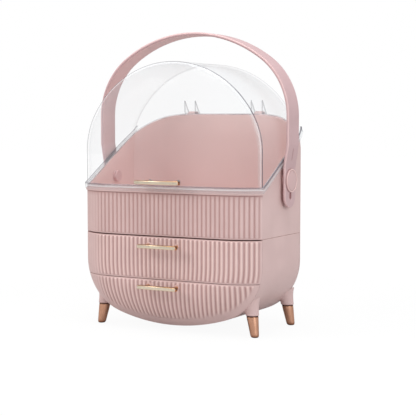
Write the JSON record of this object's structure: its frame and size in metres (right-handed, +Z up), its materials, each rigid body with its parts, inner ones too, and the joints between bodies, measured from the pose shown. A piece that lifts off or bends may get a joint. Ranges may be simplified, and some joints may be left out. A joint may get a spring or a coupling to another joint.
{
  "type": "dustproof makeup organizer",
  "caption": "Free-standing makeup organizer: an open ribbed tray under a clear flip lid, over two ribbed drawers in a round-bottomed body on splayed legs, with a swinging carry handle",
  "frame": {"origin": "on the floor, below the middle of the whole bounding box", "axes": "+X right as seen from the front, +Y to the back, +Z up; the drawers face -Y"},
  "size_m": [0.273, 0.185, 0.37],
  "materials": {
    "pink_body": "satin, dusty rose",
    "pink_handle": "satin, dusty rose",
    "pink_knob": "semi-gloss, dusty rose",
    "clear_lid": "clear, polished",
    "gold_bar": "satin champagne gold",
    "copper_tip": "satin rose gold",
    "steel": "bright"
  },
  "bodies": {
    "base": {"base_shell": "pink_body", "drawer_shelf": "pink_body", "top_tray": "pink_body", "lid_hinge_pin_left": "steel", "lid_hinge_pin_right": "steel", "handle_pivot_left": "steel", "handle_pivot_right": "steel", "pivot_spacer_left": "pink_body", "pivot_spacer_right": "pink_body", "pivot_knob_left": "pink_knob", "pivot_knob_right": "pink_knob", "pivot_cap_left": "pink_body", "pivot_cap_right": "pink_body", "leg_socket_front_left": "pink_body", "leg_socket_front_right": "pink_body", "leg_socket_back_left": "pink_body", "leg_socket_back_right": "pink_body", "leg_tip_front_left": "copper_tip", "leg_tip_front_right": "copper_tip", "leg_tip_back_left": "copper_tip", "leg_tip_back_right": "copper_tip"},
    "upper_drawer": {"upper_drawer": "pink_body", "upper_bar": "gold_bar", "upper_bar_screws": "steel"},
    "lower_drawer": {"lower_drawer": "pink_body", "lower_bar": "gold_bar", "lower_bar_screws": "steel"},
    "lid": {"lid": "clear_lid", "lid_bar": "gold_bar", "lid_bar_screws": "steel"},
    "carry_handle": {"carry_handle": "pink_handle"}
  },
  "joints": [
    {"name": "lid_hinge", "type": "hinge", "parent": "base", "child": "lid", "pos_m": [0, 0.0865, 0.266], "axis": [-1, 0, 0], "range_deg": [0, 100]},
    {"name": "carry_handle_hinge", "type": "hinge", "parent": "base", "child": "carry_handle", "pos_m": [0, 0.0075, 0.187], "axis": [-1, 0, 0], "range_deg": [0, 100]},
    {"name": "upper_drawer_slide", "type": "slide", "parent": "base", "child": "upper_drawer", "axis": [0, -1, 0], "range_m": [0, 0.1]},
    {"name": "lower_drawer_slide", "type": "slide", "parent": "base", "child": "lower_drawer", "axis": [0, -1, 0], "range_m": [0, 0.1]}
  ],
  "couplings": [
    {"joint": "carry_handle_hinge", "follows": "lid_hinge", "ratio": 1}
  ]
}
